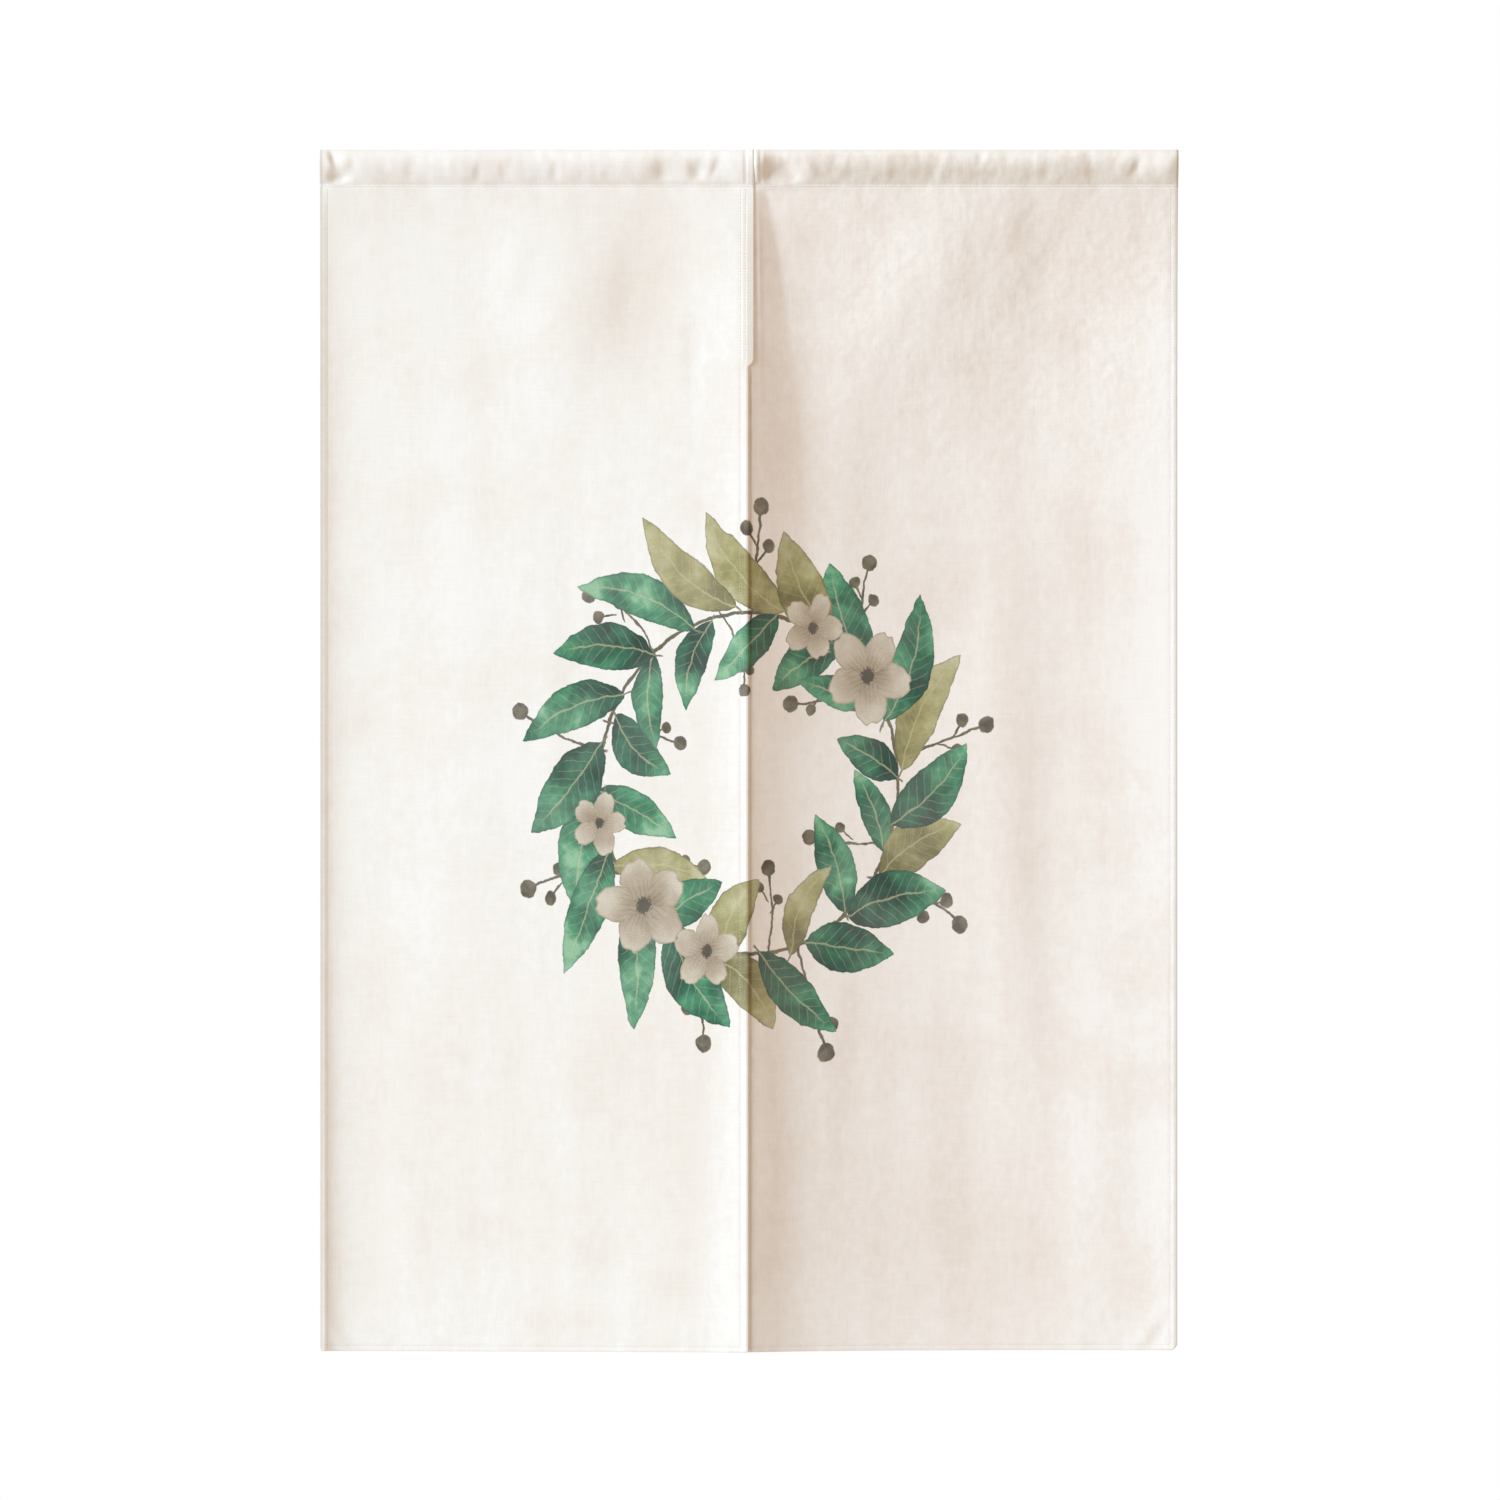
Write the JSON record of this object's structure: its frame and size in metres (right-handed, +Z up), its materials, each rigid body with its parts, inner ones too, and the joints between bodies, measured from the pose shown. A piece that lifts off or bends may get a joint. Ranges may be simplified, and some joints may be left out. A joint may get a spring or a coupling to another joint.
{
  "type": "noren curtain",
  "caption": "Split doorway curtain of off-white cotton and linen, hung by a rod sleeve along its top, its panels standing out in a soft ridge at the slit.",
  "frame": {"origin": "middle of the curtain's top edge, on the plane of the rod that its sleeve holds", "axes": "+X to the right seen from the front, +Y to the back, +Z up; the printed front faces -Y"},
  "size_m": [0.85, 0.0396, 1.19],
  "materials": {
    "panel_cloth": "matte plain weave of cotton and linen with faint slubs, printed across the slit",
    "heading_cloth": "the same matte plain weave, folded into a sleeve and stitched"
  },
  "bodies": {
    "root": {"left_panel": "panel_cloth", "right_panel": "panel_cloth", "left_heading": "heading_cloth", "right_heading": "heading_cloth"}
  },
  "joints": []
}
